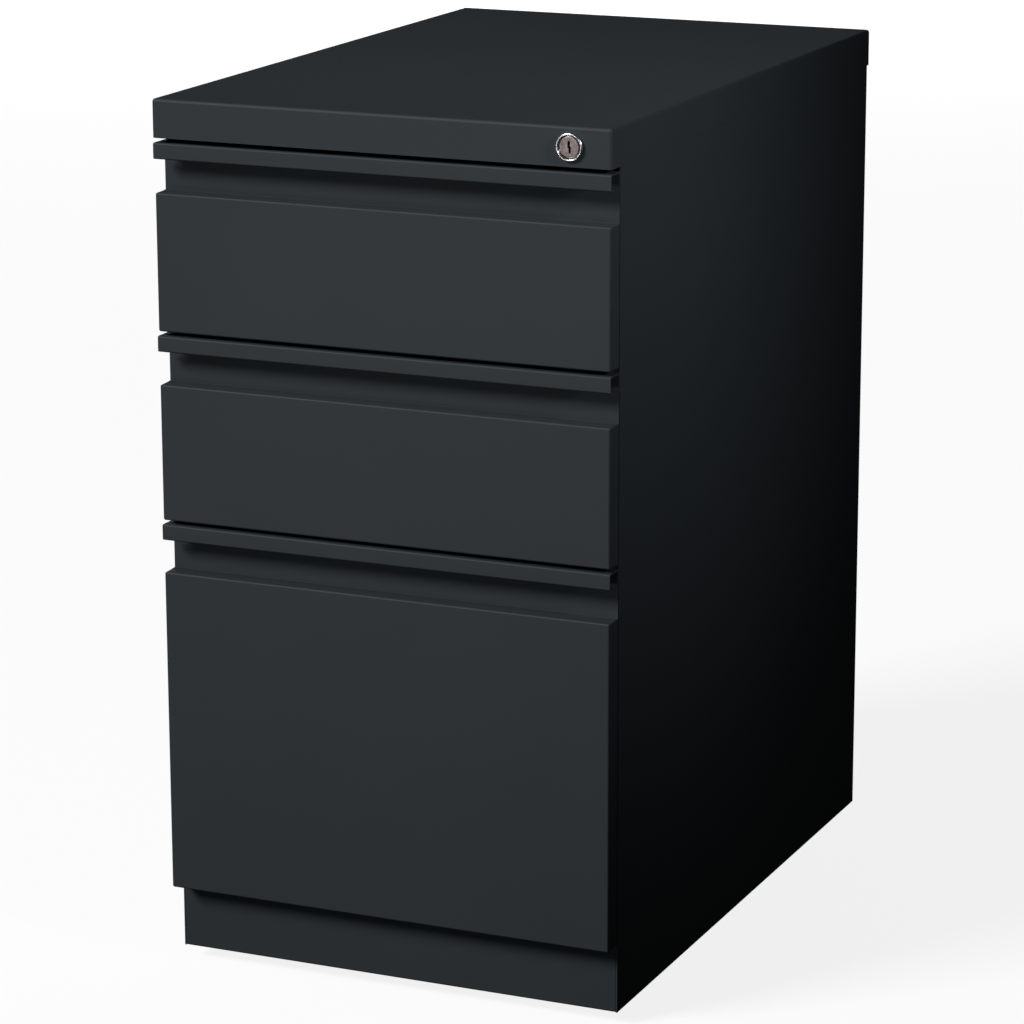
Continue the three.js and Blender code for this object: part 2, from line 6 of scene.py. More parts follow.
import bpy
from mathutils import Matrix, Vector


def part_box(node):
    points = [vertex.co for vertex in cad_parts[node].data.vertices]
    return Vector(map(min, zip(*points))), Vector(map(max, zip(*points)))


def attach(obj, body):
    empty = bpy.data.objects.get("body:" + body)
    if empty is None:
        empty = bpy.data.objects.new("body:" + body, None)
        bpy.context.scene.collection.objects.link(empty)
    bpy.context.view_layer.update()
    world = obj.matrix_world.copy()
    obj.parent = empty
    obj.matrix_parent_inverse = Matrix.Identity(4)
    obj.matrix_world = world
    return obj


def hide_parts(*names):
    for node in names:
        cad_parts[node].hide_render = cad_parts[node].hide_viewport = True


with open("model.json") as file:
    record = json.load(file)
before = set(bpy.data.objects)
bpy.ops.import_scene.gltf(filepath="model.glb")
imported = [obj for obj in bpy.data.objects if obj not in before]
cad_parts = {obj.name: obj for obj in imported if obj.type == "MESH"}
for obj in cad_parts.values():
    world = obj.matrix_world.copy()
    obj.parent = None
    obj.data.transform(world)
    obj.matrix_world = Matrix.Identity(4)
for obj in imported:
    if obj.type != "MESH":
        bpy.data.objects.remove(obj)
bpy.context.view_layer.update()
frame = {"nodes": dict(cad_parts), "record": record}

MM = 0.001
X, Y, Z = Vector((1, 0, 0)), Vector((0, 1, 0)), Vector((0, 0, 1))
SIDES = (("left", -1), ("right", 1))
DRAWERS = ("drawer_1", "drawer_2", "drawer_3")

# Sheet thicknesses and outer bend radii of the folded parts
CASE_SHEET = 1.2 * MM
CAP_SHEET = 0.9 * MM
FRONT_SHEET = 1.0 * MM
TRAY_SHEET = 0.9 * MM
CAP_BEND = 2.6 * MM
PANEL_BEND = 1.6 * MM
FRONT_BEND = 1.5 * MM
PULL_BEND = 1.4 * MM
TRAY_BEND = 1.8 * MM
CATCH_BEND = 1.2 * MM
FIT = 0.2 * MM  # clearance all round between parts that pass through each other

# Drawer fronts and trays
LEDGE_OVER_TRAY = 2.0 * MM
FRONT_LIP = 12.0 * MM
PULL_HEM = 8.0 * MM
HEM_OUT = 2.6 * MM
HEM_DOWN = 5.0 * MM

# Slides
SLIDE_SHEET = 1.2 * MM
SLIDE_BEND = 1.9 * MM
CAGE_SHEET = 0.35 * MM
CAGE_CLEAR = 0.3 * MM
CAGE_SETBACK = 4.0 * MM  # from the front end of the member that it runs in
CAGE_ENDS = 10.0 * MM  # length at the two ends of a cage that holds no balls
BOX_CAGE_LENGTH = 118.0 * MM
FILE_CAGE_LENGTH = 200.0 * MM
BALL_PITCH = 7.0 * MM
BALL_CLEAR = 0.08 * MM
FIRST_BALL = 6.0 * MM  # from the front of the cage

# Lock and latch
RING_EDGE = 1.0 * MM
SPIGOT_RADIUS = 4.0 * MM
SPIGOT_LENGTH = 2.3 * MM
KEYWAY_HALF = 4.5 * MM
KEYWAY_DEPTH = 6.0 * MM
CATCH_SHEET = 1.5 * MM
CATCH_HEIGHT = 14.0 * MM
CATCH_HEIGHTS = {"drawer_1": 66.0 * MM, "drawer_2": 66.0 * MM, "drawer_3": 100.0 * MM}  # over the bottom
FINGER_SETBACK = 13.0 * MM  # the lock bar's fingers, behind the front of the case
FINGER_CLEAR = 3.0 * MM  # from the front of a finger to the front of the catch behind it

# Casters
RACE_GAP = 1.5 * MM
AXLE_RADIUS = 3.0 * MM
AXLE_HEAD = 2.0 * MM
AXLE_CLEAR = 0.25 * MM

# The coat's relief
POWDER_PEEL_MM = 2.2  # orange peel of a sprayed and baked powder coat
POWDER_GRIT_MM = 0.5  # fused powder grains

# Places that follow from the frame
lock_low, lock_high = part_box("lock_housing")
LOCK = (lock_low + lock_high) / 2
BARREL_RADIUS = (lock_high.x - lock_low.x) / 2 - RING_EDGE
PLUG_RADIUS = (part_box("lock_plug")[1].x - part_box("lock_plug")[0].x) / 2
CASE_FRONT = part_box("base_plinth")[0].y
CATCH_FRONT = CASE_FRONT + FINGER_SETBACK + FINGER_CLEAR


# ------------------------------------------------------------------ camera, light and floor

CAMERA_AZIMUTH = 23.73
CAMERA_ELEVATION = 14.54
CAMERA_ROLL = 0.15
CAMERA_DISTANCE = 3.357
CAMERA_LENS_MM = 141.9
AIM_HEIGHT = 0.352
AIM_RIGHT = -0.0155
AIM_UP = -0.0225


def add_camera():
    """A long lens to the right of the front and a little above the top."""
    azimuth, elevation = math.radians(CAMERA_AZIMUTH), math.radians(CAMERA_ELEVATION)
    back = Vector((
        math.sin(azimuth) * math.cos(elevation),
        -math.cos(azimuth) * math.cos(elevation),
        math.sin(elevation),
    ))
    right = Z.cross(back).normalized()
    up = back.cross(right)
    bpy.ops.object.camera_add()
    camera = bpy.context.object
    camera.name = "camera"
    camera.data.sensor_width = 36.0
    camera.data.lens = CAMERA_LENS_MM
    camera.data.clip_end = 100.0
    camera.location = (
        back * CAMERA_DISTANCE + right * AIM_RIGHT + up * AIM_UP + Z * AIM_HEIGHT
    )
    camera.rotation_euler = (-back).to_track_quat("-Z", "Y").to_euler()
    camera.rotation_euler.rotate_axis("Z", math.radians(-CAMERA_ROLL))
    bpy.context.scene.camera = camera


def add_softbox(name, place, aim, size, watts):
    """A rectangular light of a width and a height, which the camera doesn't see."""
    bpy.ops.object.light_add(type="AREA", location=place)
    lamp = bpy.context.object
    lamp.name = name
    lamp.data.shape = "RECTANGLE"
    lamp.data.size, lamp.data.size_y = size
    lamp.data.energy = watts
    lamp.visible_camera = False
    lamp.rotation_euler = (Vector(aim) - Vector(place)).to_track_quat("-Z", "Y").to_euler()
    return lamp


def add_studio():
    """A key light high on the left, a narrow one grazing the right side, a card for the lock's bright
    ring and a low light for the back, which stays under the level of the top."""
    add_softbox("front_light", (-8.4, -11.2, 10.2), (0.0, -0.3, 0.25), (5.2, 5.4), 2620.0)
    side = add_softbox("side_light", (2.1, -0.8, 1.6), (0.19, -0.20, 0.74), (0.3, 0.3), 0.70)
    side.data.spread = math.radians(27)
    lock_card = add_softbox("lock_card", LOCK + Vector((-0.8, -1.76, -0.48)), LOCK, (0.5, 0.5), 0.5)
    lock_card.data.spread = math.radians(60)
    add_softbox("rear_light", (-2.6, 6.2, 0.36), (0.0, 0.0, 0.36), (4.0, 0.62), 200.0)
    world = bpy.data.worlds.new("studio")
    world.use_nodes = True
    background = world.node_tree.nodes["Background"]
    background.inputs["Color"].default_value = (1, 1, 1, 1)
    background.inputs["Strength"].default_value = 0.018
    bpy.context.scene.world = world
    bpy.context.scene.view_settings.view_transform = "Standard"


def seen_only(obj):
    """A stage piece that the camera sees but that throws no light back on the object."""
    obj.visible_diffuse = False
    obj.visible_glossy = False
    obj.visible_transmission = False


def add_floor(material):
    clear_selection()
    bpy.ops.mesh.primitive_plane_add(size=60.0, location=(0, 0, -0.0005))
    wear(named("floor"), material)
    seen_only(bpy.context.object)


def add_backdrop(material):
    """A pale drum round the stage, which stands behind the object where a view looks level."""
    clear_selection()
    bpy.ops.mesh.primitive_cylinder_add(vertices=96, radius=29.0, depth=40.0, end_fill_type="NOTHING")
    wear(named("backdrop"), material)
    bpy.context.object.visible_shadow = False
    seen_only(bpy.context.object)


# ------------------------------------------------------------------ materials


def linear(hex_colour):
    """An sRGB hex colour as linear RGBA."""
    channels = [int(hex_colour[i:i + 2], 16) / 255 for i in (1, 3, 5)]
    return [c / 12.92 if c <= 0.04045 else ((c + 0.055) / 1.055) ** 2.4 for c in channels] + [1]


def node(material, kind, settings=(), links=()):
    """Adds a node: settings are (property or input, value), links are (input, source socket)."""
    made = material.node_tree.nodes.new(kind)
    for name, value in settings:
        if isinstance(name, str) and hasattr(made, name):
            setattr(made, name, value)
        else:
            made.inputs[name].default_value = value
    for name, source in links:
        material.node_tree.links.new(source, made.inputs[name])
    return made


def new_material(name, colour, metallic, roughness):
    material = bpy.data.materials.new(name)
    material.use_nodes = True
    shader = material.node_tree.nodes["Principled BSDF"]
    shader.inputs["Base Color"].default_value = linear(colour)
    shader.inputs["Metallic"].default_value = metallic
    shader.inputs["Roughness"].default_value = roughness
    return material, shader


def per_mm(feature_mm):
    """The noise scale on Object coordinates, in metres, that gives features of this size."""
    return 1.0 / (feature_mm * MM)


def varied(material, shader, coordinates, colours, feature_mm, low=0.35, high=0.65, detail=3.0):
    """Lets the base colour drift between two colours over patches of one size."""
    noise = node(material, "ShaderNodeTexNoise",
                 [("Scale", per_mm(feature_mm)), ("Detail", detail)], [("Vector", coordinates)])
    ramp = node(material, "ShaderNodeValToRGB", links=[("Fac", noise.outputs["Fac"])])
    ramp.color_ramp.elements[0].position = low
    ramp.color_ramp.elements[1].position = high
    ramp.color_ramp.elements[0].color = linear(colours[0])
    ramp.color_ramp.elements[1].color = linear(colours[1])
    material.node_tree.links.new(ramp.outputs["Color"], shader.inputs["Base Color"])
    return ramp


def roughened(material, shader, coordinates, feature_mm, low, high, detail=2.0):
    """Lets the roughness drift between two values."""
    noise = node(material, "ShaderNodeTexNoise",
                 [("Scale", per_mm(feature_mm)), ("Detail", detail)], [("Vector", coordinates)])
    spread = node(material, "ShaderNodeMapRange",
                  [("From Min", 0.3), ("From Max", 0.7), ("To Min", low), ("To Max", high)],
                  [("Value", noise.outputs["Fac"])])
    material.node_tree.links.new(spread.outputs["Result"], shader.inputs["Roughness"])


def bumped(material, shader, height, depth_mm, strength, base=None):
    """Adds relief of one depth, on top of another relief where there is one."""
    links = [("Height", height)]
    if base:
        links.append(("Normal", base))
    bump = node(material, "ShaderNodeBump",
                [("Distance", depth_mm * MM), ("Strength", strength)], links)
    material.node_tree.links.new(bump.outputs["Normal"], shader.inputs["Normal"])
    return bump.outputs["Normal"]


def painted_edge_highlight(material, base, paler, radius_mm):
    """Paints a highlight: turns the base colour paler where two faces meet within one radius, as if each
    bend caught the light.
    """
    rounded = node(material, "ShaderNodeBevel", [("samples", 6), ("Radius", radius_mm * MM)])
    flat = node(material, "ShaderNodeNewGeometry")
    agreement = node(material, "ShaderNodeVectorMath", [("operation", "DOT_PRODUCT")],
                     [(0, rounded.outputs["Normal"]), (1, flat.outputs["Normal"])])
    edge = node(material, "ShaderNodeMapRange",
                [("From Min", 0.99), ("From Max", 0.80), ("To Min", 0.0), ("To Max", 0.5)],
                [("Value", agreement.outputs["Value"])])
    return node(material, "ShaderNodeMixRGB", [("Color2", linear(paler))],
                [("Color1", base), ("Fac", edge.outputs["Result"])]).outputs["Color"]


def powder_coat():
    """Polyester powder coat on steel: a satin skin with soft orange peel, and a painted highlight that
    makes each bend slightly paler."""
    material, shader = new_material("charcoal_powder_coat", "#2d3337", 0.0, 0.6)
    place = node(material, "ShaderNodeTexCoord").outputs["Object"]
    shader.inputs["Specular IOR Level"].default_value = 0.24
    tone = varied(material, shader, place, ("#2d3337", "#2e3438"), 90.0)
    # painted highlight: a paler colour along each bend stands in for the light that the bend catches
    skin = painted_edge_highlight(material, tone.outputs["Color"], "#3a4246", 1.4)
    material.node_tree.links.new(skin, shader.inputs["Base Color"])
    roughened(material, shader, place, 25.0, 0.595, 0.61)
    peel = node(material, "ShaderNodeTexNoise",
                [("Scale", per_mm(POWDER_PEEL_MM)), ("Detail", 1.0)], [("Vector", place)])
    grit = node(material, "ShaderNodeTexNoise",
                [("Scale", per_mm(POWDER_GRIT_MM)), ("Detail", 2.0)], [("Vector", place)])
    relief = bumped(material, shader, peel.outputs["Fac"], 0.05, 0.3)
    bumped(material, shader, grit.outputs["Fac"], 0.02, 0.3, relief)
    return material


def zinc_plate():
    """Electro-galvanised strip: a bright, faintly blue skin with the rolling lines of the strip."""
    material, shader = new_material("zinc_plated_steel", "#b9bdc0", 1.0, 0.36)
    place = node(material, "ShaderNodeTexCoord").outputs["Object"]
    varied(material, shader, place, ("#b2b7bb", "#c2c3bf"), 18.0)
    roughened(material, shader, place, 9.0, 0.34, 0.39)
    rolled = node(material, "ShaderNodeMapping", [("Scale", (1.0, 0.02, 1.0))], [("Vector", place)])
    lines = node(material, "ShaderNodeTexNoise",
                 [("Scale", per_mm(0.6)), ("Detail", 2.0)], [("Vector", rolled.outputs["Vector"])])
    bumped(material, shader, lines.outputs["Fac"], 0.006, 0.25)
    return material


def chrome_plate():
    """Bright nickel-chrome plate, dulled a little by handling, with the hairlines of polishing."""
    material, shader = new_material("polished_chrome", "#e6e7e8", 1.0, 0.24)
    place = node(material, "ShaderNodeTexCoord").outputs["Object"]
    varied(material, shader, place, ("#e0e2e4", "#ebebea"), 5.0)
    roughened(material, shader, place, 1.5, 0.20, 0.28)
    hair = node(material, "ShaderNodeTexNoise",
                [("Scale", per_mm(0.3)), ("Detail", 3.0)], [("Vector", place)])
    bumped(material, shader, hair.outputs["Fac"], 0.004, 0.3)
    return material


def satin_nickel():
    """Nickel-plated zinc plug: warm grey, turned, with fine concentric tool marks."""
    material, shader = new_material("satin_nickel_plug", "#7c7371", 1.0, 0.40)
    place = node(material, "ShaderNodeTexCoord").outputs["Object"]
    varied(material, shader, place, ("#736a69", "#8a807e"), 3.0)
    roughened(material, shader, place, 1.2, 0.36, 0.48)
    low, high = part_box("lock_plug")
    centred = node(material, "ShaderNodeMapping",
                   [("Location", -(low + high) / 2)], [("Vector", place)])
    rings = node(material, "ShaderNodeTexWave",
                 [("wave_type", "RINGS"), ("rings_direction", "Y"),
                  ("Scale", per_mm(0.9) / math.tau), ("Distortion", 0.6)],
                 [("Vector", centred.outputs["Vector"])])
    bumped(material, shader, rings.outputs["Fac"], 0.015, 0.4)
    return material


def bright_steel():
    """Cold-drawn and turned steel, lightly oiled."""
    material, shader = new_material("bright_drawn_steel", "#9a9a98", 1.0, 0.30)
    place = node(material, "ShaderNodeTexCoord").outputs["Object"]
    varied(material, shader, place, ("#8a8987", "#a5a5a3"), 4.0)
    roughened(material, shader, place, 2.0, 0.24, 0.40)
    turned_marks = node(material, "ShaderNodeTexNoise",
                        [("Scale", per_mm(0.4)), ("Detail", 2.0)], [("Vector", place)])
    bumped(material, shader, turned_marks.outputs["Fac"], 0.008, 0.4)
    return material


def mill_steel():
    """Hot-rolled bar left in its blue-black mill scale, with rust starting in the pores."""
    material, shader = new_material("mill_scale_steel", "#4a4b4d", 0.7, 0.55)
    place = node(material, "ShaderNodeTexCoord").outputs["Object"]
    varied(material, shader, place, ("#3b3e42", "#5a5148"), 22.0, 0.4, 0.7, 6.0)
    roughened(material, shader, place, 8.0, 0.45, 0.70)
    scale = node(material, "ShaderNodeTexNoise",
                 [("Scale", per_mm(3.0)), ("Detail", 6.0)], [("Vector", place)])
    bumped(material, shader, scale.outputs["Fac"], 0.15, 0.5)
    return material


def moulded_nylon():
    """Black glass-filled nylon: a dull moulded skin that picks up dust on the tread."""
    material, shader = new_material("black_moulded_nylon", "#17181a", 0.0, 0.5)
    place = node(material, "ShaderNodeTexCoord").outputs["Object"]
    varied(material, shader, place, ("#141517", "#232321"), 9.0, 0.45, 0.75)
    roughened(material, shader, place, 4.0, 0.42, 0.62)
    spark = node(material, "ShaderNodeTexNoise",
                 [("Scale", per_mm(0.4)), ("Detail", 3.0)], [("Vector", place)])
    bumped(material, shader, spark.outputs["Fac"], 0.03, 0.5)
    return material


def black_oxide():
    """Chemically blackened steel of small screws."""
    material, shader = new_material("black_oxide_steel", "#2a2a2c", 1.0, 0.38)
    place = node(material, "ShaderNodeTexCoord").outputs["Object"]
    varied(material, shader, place, ("#222224", "#3a3938"), 2.5)
    roughened(material, shader, place, 1.2, 0.30, 0.48)
    return material


def studio_floor():
    """Matt white paper, lit evenly through from below, so that it stays pale to its far edge."""
    material, shader = new_material("paper_floor", "#787878", 0.0, 0.9)
    place = node(material, "ShaderNodeTexCoord").outputs["Object"]
    fibre = node(material, "ShaderNodeTexNoise",
                 [("Scale", per_mm(2.0)), ("Detail", 2.0)], [("Vector", place)])
    bumped(material, shader, fibre.outputs["Fac"], 0.02, 0.1)
    shader.inputs["Specular IOR Level"].default_value = 0.0
    shader.inputs["Emission Color"].default_value = (1, 1, 1, 1)
    shader.inputs["Emission Strength"].default_value = 0.86
    return material


def studio_backdrop():
    """A white cloth lit from behind."""
    material, shader = new_material("white_backdrop", "#808080", 0.0, 1.0)
    shader.inputs["Specular IOR Level"].default_value = 0.0
    shader.inputs["Emission Color"].default_value = (1, 1, 1, 1)
    shader.inputs["Emission Strength"].default_value = 0.88
    return material


# ------------------------------------------------------------------ modelling helpers


def clear_selection():
    if bpy.context.object and bpy.context.object.mode != "OBJECT":
        bpy.ops.object.mode_set(mode="OBJECT")
    bpy.ops.object.select_all(action="DESELECT")


def named(name):
    """Names the piece that was just made, and its mesh."""
    piece = bpy.context.object
    piece.name = name
    piece.data.name = name
    return piece


def settle(piece):
    """Puts the piece's place, turn and size into its mesh."""
    clear_selection()
    piece.select_set(True)
    bpy.context.view_layer.objects.active = piece
    bpy.ops.object.transform_apply(location=True, rotation=True, scale=True)
    return piece


def cube(name, low, high):
    """A box between two corners."""
    clear_selection()
    low, high = Vector(low), Vector(high)
    bpy.ops.mesh.primitive_cube_add(size=1, location=(low + high) / 2)
    piece = named(name)
    piece.scale = high - low
    return settle(piece)


def plate(name, centre, size, turn=(0, 0, 0)):
    """A flat panel: a plane of a width and a height, turned about the axes."""
    clear_selection()
    bpy.ops.mesh.primitive_plane_add(size=1, location=centre, rotation=turn)
    piece = named(name)
    piece.scale = (size[0], size[1], 1)
    return settle(piece)


def pick(piece, kind, wanted):
    """Opens the piece for editing with just the wanted faces, edges or vertices selected."""
    bpy.context.view_layer.objects.active = piece
    bpy.ops.object.mode_set(mode="EDIT")
    bpy.ops.mesh.select_mode(type=kind)
    bpy.ops.mesh.select_all(action="DESELECT")
    bpy.ops.object.mode_set(mode="OBJECT")
    mesh = piece.data
    if kind == "FACE":
        for face in mesh.polygons:
            face.select = wanted(face)
    elif kind == "EDGE":
        for edge in mesh.edges:
            a, b = (mesh.vertices[i].co for i in edge.vertices)
            edge.select = wanted(a, b)
    else:
        for vertex in mesh.vertices:
            vertex.select = wanted(vertex.co)
    bpy.ops.object.mode_set(mode="EDIT")


def done(piece):
    """Closes the piece after editing."""
    bpy.ops.object.mode_set(mode="OBJECT")
    return piece


def push(step):
    """Extrudes what is selected by one step."""
    bpy.ops.mesh.extrude_region_move(TRANSFORM_OT_translate={"value": tuple(step)})


def near(a, b, slack=0.05 * MM):
    return abs(a - b) < slack


def drop_face(piece, axis, sign):
    """Opens a box by deleting the face that points one way."""
    pick(piece, "FACE", lambda face: face.normal[axis] * sign > 0.9)
    bpy.ops.mesh.delete(type="FACE")
    return done(piece)


def pull_edge(piece, wanted, *steps):
    """Extrudes the wanted edges through a chain of steps, as a folded flange."""
    pick(piece, "EDGE", wanted)
    for step in steps:
        push(step)
    return done(piece)


def round_bends(piece, radius, segments=4, sharpness=30.0):
    """Bevels each fold of a sheet into a bend."""
    pick(piece, "EDGE", lambda a, b: False)
    bpy.ops.mesh.edges_select_sharp(sharpness=math.radians(sharpness))
    bpy.ops.mesh.bevel(offset=radius, segments=segments, affect="EDGES", profile=0.5)
    return done(piece)


def apply_all(piece):
    """Applies the piece's modifiers in their order."""
    clear_selection()
    piece.select_set(True)
    bpy.context.view_layer.objects.active = piece
    for modifier in list(piece.modifiers):
        bpy.ops.object.modifier_apply(modifier=modifier.name)
    return piece


def smooth(piece, angle=35.0):
    """Shades smooth across every edge flatter than an angle."""
    clear_selection()
    piece.select_set(True)
    bpy.context.view_layer.objects.active = piece
    bpy.ops.object.shade_smooth_by_angle(angle=math.radians(angle))
    return piece


def thicken(piece, sheet, edge=0.2 * MM):
    """Gives a folded skin its sheet thickness on the inside and eases its cut edges."""
    wall = piece.modifiers.new("sheet", "SOLIDIFY")
    wall.thickness = sheet
    wall.offset = -1
    wall.use_even_offset = True
    easing = piece.modifiers.new("deburr", "BEVEL")
    easing.width = edge
    easing.segments = 1
    easing.limit_method = "ANGLE"
    easing.angle_limit = math.radians(60)
    apply_all(piece)
    return smooth(piece)


def cut(piece, *cutters):
    """Cuts the piece with closed shapes and removes them."""
    for cutter in cutters:
        boolean = piece.modifiers.new("cut", "BOOLEAN")
        boolean.operation = "DIFFERENCE"
        boolean.object = cutter
        boolean.solver = "EXACT"
        apply_all(piece)
        bpy.data.objects.remove(cutter)
    return smooth(piece)


def drill(centre, radius, depth, axis="Y", vertices=48):
    """A round cutter through a centre."""
    turn = {"X": (0, math.pi / 2, 0), "Y": (math.pi / 2, 0, 0), "Z": (0, 0, 0)}[axis]
    clear_selection()
    bpy.ops.mesh.primitive_cylinder_add(
        vertices=vertices, radius=radius, depth=depth, location=centre, rotation=turn)
    return settle(named("drill"))


def turned(name, profile, centre=(0, 0, 0), axis="Z", vertices=48):
    """A turned part: a ring carried along a profile of (radius, height). Where the profile ends where it
    began the part is a ring, and otherwise its two ends are closed flat."""
    is_ring = profile[0] == profile[-1]
    radius, height = profile[0]
    clear_selection()
    bpy.ops.mesh.primitive_circle_add(vertices=vertices, radius=radius, location=(0, 0, height))
    piece = settle(named(name))
    bpy.ops.object.mode_set(mode="EDIT")
    bpy.ops.mesh.select_mode(type="EDGE")
    bpy.ops.mesh.select_all(action="SELECT")
    if not is_ring:
        bpy.ops.mesh.edge_face_add()
        bpy.ops.mesh.select_all(action="SELECT")
    for next_radius, next_height in profile[1:]:
        move = {"value": (0, 0, next_height - height)}
        bpy.ops.mesh.extrude_edges_move(TRANSFORM_OT_translate=move)
        ratio = next_radius / radius
        bpy.ops.transform.resize(value=(ratio, ratio, 1), center_override=(0, 0, next_height))
        radius, height = next_radius, next_height
    if is_ring:
        bpy.ops.mesh.select_all(action="SELECT")
        bpy.ops.mesh.remove_doubles(threshold=0.001 * MM)
    else:
        bpy.ops.mesh.edge_face_add()
    bpy.ops.mesh.select_all(action="SELECT")
    bpy.ops.mesh.normals_make_consistent(inside=False)
    bpy.ops.object.mode_set(mode="OBJECT")
    piece.rotation_euler = {"X": (0, math.pi / 2, 0), "Y": (-math.pi / 2, 0, 0), "Z": (0, 0, 0)}[axis]
    piece.location = centre
    return smooth(settle(piece))


def softened(node_name, name, radius, segments=2):
    """A finer copy of a CAD solid, its doubles merged and its hard edges rounded."""
    mesh = frame["nodes"][node_name].data.copy()
    mesh.name = name
    piece = bpy.data.objects.new(name, mesh)
    bpy.context.collection.objects.link(piece)
    pick(piece, "VERT", lambda place: True)
    bpy.ops.mesh.remove_doubles(threshold=0.001 * MM)
    bpy.ops.mesh.dissolve_limited(angle_limit=math.radians(1))
    done(piece)
    return eased(piece, radius, segments)


def eased(piece, radius, segments=2, angle=30.0):
    """Rounds every edge sharper than an angle."""
    rounding = piece.modifiers.new("rounding", "BEVEL")
    rounding.width = radius
    rounding.segments = segments
    rounding.limit_method = "ANGLE"
    rounding.angle_limit = math.radians(angle)
    apply_all(piece)
    return smooth(piece)


def joined(name, pieces):
    """Joins pieces into one mesh."""
    clear_selection()
    for piece in pieces:
        piece.select_set(True)
    bpy.context.view_layer.objects.active = pieces[0]
    if len(pieces) > 1:
        bpy.ops.object.join()
    return named(name)


def repeated(name, master, spots):
    """Copies a modelled master to each spot, given as its place and turn, and joins the copies."""
    copies = []
    for place, turn in spots:
        clear_selection()
        master.select_set(True)
        bpy.context.view_layer.objects.active = master
        bpy.ops.object.duplicate()
        bpy.context.object.location = place
        bpy.context.object.rotation_euler = turn
        copies.append(settle(bpy.context.object))
    bpy.data.objects.remove(master)
    return joined(name, copies)


def in_rows(piece, *rows):
    """Repeats a shape along one or more steps, each given as (count, step)."""
    for count, step in rows:
        row = piece.modifiers.new("row", "ARRAY")
        row.count = count
        row.use_relative_offset = False
        row.use_constant_offset = True
        row.constant_offset_displace = step
    return apply_all(piece)


def fit_out(piece, body, slot, *nodes, material=None):
    """Gives a finished piece its material, picked by its slot unless one is given, and its body, and
    hides the CAD nodes it stands for. The weighting keeps a large face's shading flat beside its bends."""
    weighting = piece.modifiers.new("flat_faces", "WEIGHTED_NORMAL")
    weighting.keep_sharp = True
    apply_all(piece)
    wear(piece, material or MATERIALS[slot])
    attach(piece, body)
    if nodes:
        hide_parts(*nodes)
    return piece


def wear(piece, material):
    """Gives a piece one material over its whole surface."""
    piece.data.materials.clear()
    piece.data.materials.append(material)
    return piece


# ------------------------------------------------------------------ the case


def make_cap():
    """One-piece wrapped top: a shallow box open below, with soft bends all round."""
    low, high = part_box("top_cap")
    cap = cube("cap_shell", low, high)
    drop_face(cap, 2, -1)
    round_bends(cap, CAP_BEND, 6)
    thicken(cap, CAP_SHEET)
    cut(cap, drill((LOCK.x, low.y, LOCK.z), BARREL_RADIUS + FIT, 10 * MM))
    fit_out(cap, "case", "powder_coat", "top_cap")


def make_side_panels():
    for label, _ in SIDES:
        panel = softened(f"{label}_side_panel", f"{label}_side_sheet", 0.45 * MM, 3)
        fit_out(panel, "case", "powder_coat", f"{label}_side_panel")


def make_upright(node_name, name, facing):
    """An upright sheet across the case whose foot is folded inward, with its outer face one way in Y."""
    low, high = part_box(node_name)
    face_y, foot_y = (low.y, high.y) if facing < 0 else (high.y, low.y)
    sheet = plate(name, (0, face_y, (low.z + high.z) / 2), (high.x - low.x, high.z - low.z),
                  (-facing * math.pi / 2, 0, 0))
    pull_edge(sheet, lambda a, b: near(a.z, low.z) and near(b.z, low.z), Y * (foot_y - face_y))
    round_bends(sheet, PANEL_BEND)
    fit_out(thicken(sheet, CASE_SHEET), "case", "powder_coat", node_name)


def make_top_rail():
    """The angle behind the fascia that closes the cap from below and steadies the lock barrel."""
    low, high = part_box("front_top_rail")
    rail = plate("fascia_rail", (0, high.y, (low.z + high.z) / 2),
                 (high.x - low.x, high.z - low.z), (-math.pi / 2, 0, 0))
    pull_edge(rail, lambda a, b: near(a.z, low.z) and near(b.z, low.z), Y * (low.y - high.y))
    round_bends(rail, PANEL_BEND)
    thicken(rail, CASE_SHEET)
    cut(rail, drill((LOCK.x, high.y, LOCK.z), BARREL_RADIUS + 1 * MM, 10 * MM))
    fit_out(rail, "case", "powder_coat", "front_top_rail")


def make_pan():
    """The floor of the case: a shallow tray with its flanges down."""
    low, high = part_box("bottom_pan")
    pan = cube("base_pan", low, high)
    drop_face(pan, 2, -1)
    round_bends(pan, PANEL_BEND)
    fit_out(thicken(pan, CASE_SHEET), "case", "powder_coat", "bottom_pan")


def make_counterweight():
    """A sawn length of flat bar, held down by two bolts."""
    bar = softened("counterweight", "ballast_bar", 0.8 * MM, 3)
    fit_out(bar, "case", "mill_steel", "counterweight")
    low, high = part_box("counterweight")
    spots = [((x, (low.y + high.y) / 2, high.z), (0, 0, 0)) for x in (low.x * 0.8, high.x * 0.8)]
    bolts = repeated("ballast_bolts", hex_bolt(6.5 * MM, 5.3 * MM), spots)
    fit_out(bolts, "case", "zinc")


def make_rear_rivets():
    """Domed rivets that hold the back sheet to the channels behind it."""
    low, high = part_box("back_panel")
    inset = 9.0 * MM
    lowest, highest = low.z + 60 * MM, high.z - 70 * MM
    levels = [lowest + i * (highest - lowest) / 5 for i in range(6)]
    spots = [((x, high.y, z), (-math.pi / 2, 0, 0))
             for x in (low.x + inset, high.x - inset) for z in levels]
    rivets = repeated("back_rivets", dome_rivet(3.2 * MM, 1.3 * MM), spots)
    fit_out(rivets, "case", "powder_coat")


# ------------------------------------------------------------------ fasteners, modelled once each


def dome_rivet(radius, height):
    """The domed head of a rivet."""
    return turned("dome_rivet", [
        (radius, -0.3 * MM), (radius, 0.15 * height), (0.86 * radius, 0.55 * height),
        (0.6 * radius, 0.85 * height), (0.25 * radius, height)], vertices=16)


